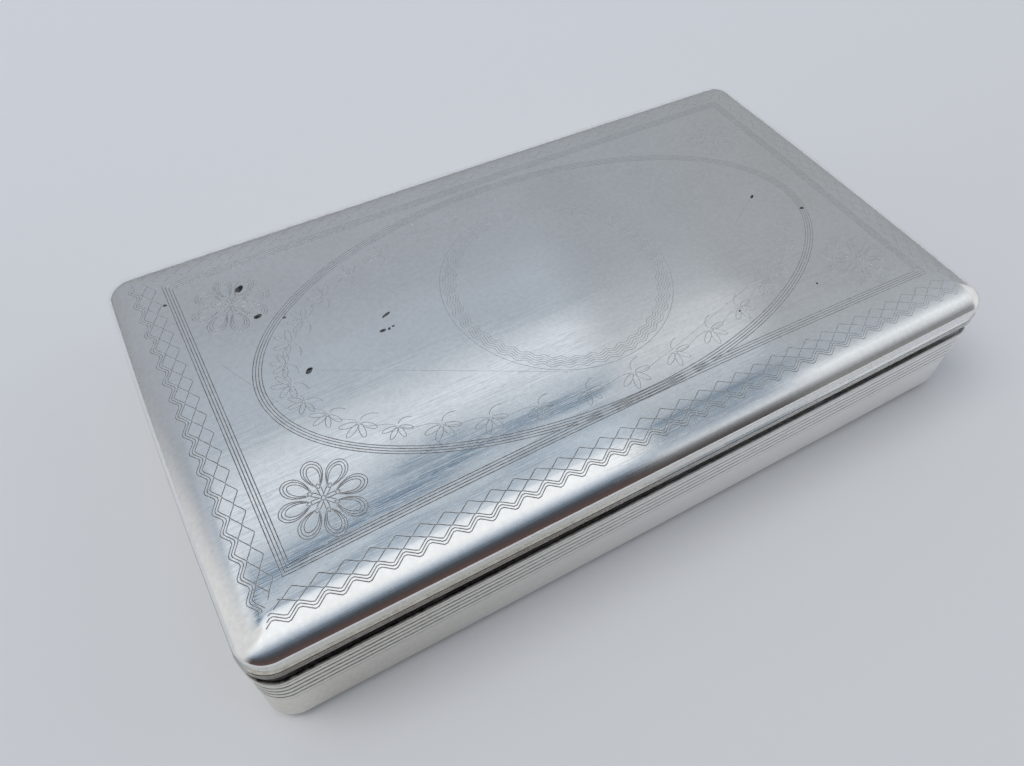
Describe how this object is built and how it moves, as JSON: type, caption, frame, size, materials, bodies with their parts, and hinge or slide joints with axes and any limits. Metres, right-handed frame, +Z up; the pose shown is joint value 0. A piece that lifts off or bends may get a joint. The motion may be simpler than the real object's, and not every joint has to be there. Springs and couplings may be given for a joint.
{
  "type": "tobacco box",
  "caption": "Flat rectangular silver tobacco box with rounded corners, a hinged lid with engraved borders, reeded sides and an inner collar; opens to hold loose tobacco.",
  "frame": {"origin": "centre of the box's outline, hinge included, on the surface that it stands on", "axes": "+X along the length, to the right as seen from the opening front; +Y to the hinge at the back; +Z up"},
  "size_m": [0.1368, 0.0794, 0.0254],
  "materials": {
    "lid_silver": "polished silver with fine scratches",
    "body_silver": "polished silver, slightly dulled by handling",
    "inside_silver": "satin silver, dull with age",
    "pin_wire": "drawn wire"
  },
  "bodies": {
    "case_body": {"base_plate": "body_silver", "body_wall": "body_silver", "body_rim": "body_silver", "body_collar": "inside_silver", "body_hinge_bearer": "body_silver", "body_knuckle_1": "body_silver", "body_knuckle_2": "body_silver", "body_knuckle_3": "body_silver", "body_knuckle_4": "body_silver", "body_knuckle_5": "body_silver", "hinge_pin": "pin_wire", "pin_plug_left": "body_silver", "pin_plug_right": "body_silver"},
    "lid": {"lid_plate": "lid_silver", "lid_band": "lid_silver", "lid_rim": "lid_silver", "lid_hinge_bearer": "lid_silver", "lid_knuckle_1": "lid_silver", "lid_knuckle_2": "lid_silver", "lid_knuckle_3": "lid_silver", "lid_knuckle_4": "lid_silver"}
  },
  "joints": [
    {"name": "lid_hinge", "type": "hinge", "parent": "case_body", "child": "lid", "pos_m": [0, 0.03825, 0.0172], "axis": [-1, 0, 0], "range_deg": [0, 105]}
  ]
}
